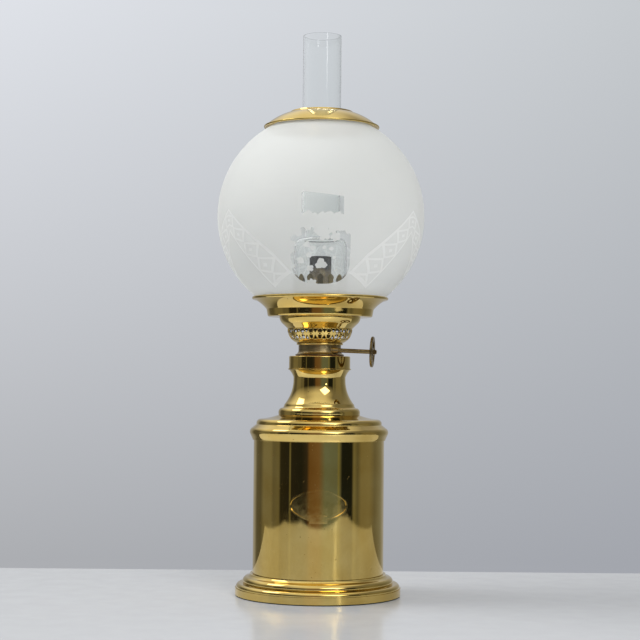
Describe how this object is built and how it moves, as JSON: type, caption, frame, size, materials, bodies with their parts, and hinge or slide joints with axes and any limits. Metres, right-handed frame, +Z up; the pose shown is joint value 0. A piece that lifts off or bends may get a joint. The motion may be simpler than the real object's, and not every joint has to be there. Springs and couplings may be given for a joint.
{
  "type": "kerosene table lamp",
  "caption": "Brass kerosene table lamp: cylinder tank on a moulded foot, round-wick burner with a side thumbwheel, glass chimney and a frosted ball shade in a brass ring",
  "frame": {"origin": "The middle of the felt pad's underside, where the lamp's upright axis meets the table", "axes": "+Z is up along the lamp's axis; -Y is the front, with the oval plate; +X is to the right, with the thumbwheel"},
  "size_m": [0.207, 0.207, 0.559],
  "materials": {
    "polished_brass": "polished yellow brass",
    "plain_brass": "satin brass, less bright than the outside",
    "dull_brass": "dark tarnished brass",
    "sheet_steel": "plain pressed sheet steel",
    "cast_iron": "rough casting",
    "felt": "dark green felt",
    "fibre": "red-brown vulcanised fibre",
    "cotton": "woven cotton wick",
    "frosted_glass": "satin etched opal-white glass with clear ornament",
    "clear_glass": "clear blown glass"
  },
  "bodies": {
    "base": {"felt_pad": "felt", "bottom_plate": "sheet_steel", "ballast": "cast_iron", "foot_moulding": "polished_brass", "tank_floor": "plain_brass", "tank_cylinder": "polished_brass", "oval_plate": "polished_brass", "shoulder": "polished_brass", "neck_column": "polished_brass", "collar": "polished_brass", "collar_seal": "fibre"},
    "burner": {"burner_base": "plain_brass", "spindle_bush": "plain_brass", "spindle_end_bearing": "plain_brass", "outer_wick_tube": "plain_brass", "inner_wick_tube": "plain_brass", "air_basket": "polished_brass", "chimney_gallery": "plain_brass", "draught_deck": "plain_brass"},
    "raiser": {"raiser_spindle": "dull_brass", "raiser_wheels": "dull_brass", "thumbwheel": "dull_brass", "thumbwheel_nut": "dull_brass"},
    "wick_body": {"wick": "cotton"},
    "shade_holder": {"holder_cup": "polished_brass", "globe_ring": "polished_brass"},
    "shade": {"globe": "frosted_glass"},
    "cap": {"globe_cap": "polished_brass", "cap_locating_ring": "plain_brass"},
    "chimney_body": {"chimney": "clear_glass"}
  },
  "joints": [
    {"name": "burner_lift", "type": "slide", "parent": "base", "child": "burner", "axis": [0, 0, 1], "range_m": [0, 0.2]},
    {"name": "thumbwheel_turn", "type": "hinge", "parent": "burner", "child": "raiser", "pos_m": [-0.00196, -0.01396, 0.2434], "axis": [0.9895, -0.1391, -0.0384], "range_deg": [-176, 88]},
    {"name": "wick_travel", "type": "slide", "parent": "burner", "child": "wick_body", "axis": [0, 0, 1], "range_m": [-0.01197, 0.00598]},
    {"name": "chimney_lift", "type": "slide", "parent": "burner", "child": "chimney_body", "axis": [0, 0, 1], "range_m": [0, 0.2]},
    {"name": "shade_holder_lift", "type": "slide", "parent": "burner", "child": "shade_holder", "axis": [0, 0, 1], "range_m": [0, 0.3]},
    {"name": "shade_lift", "type": "slide", "parent": "shade_holder", "child": "shade", "axis": [0, 0, 1], "range_m": [0, 0.29]},
    {"name": "cap_lift", "type": "slide", "parent": "shade", "child": "cap", "axis": [0, 0, 1], "range_m": [0, 0.1]}
  ],
  "couplings": [
    {"joint": "thumbwheel_turn", "follows": "wick_travel", "rad_per_m": 256.41}
  ]
}
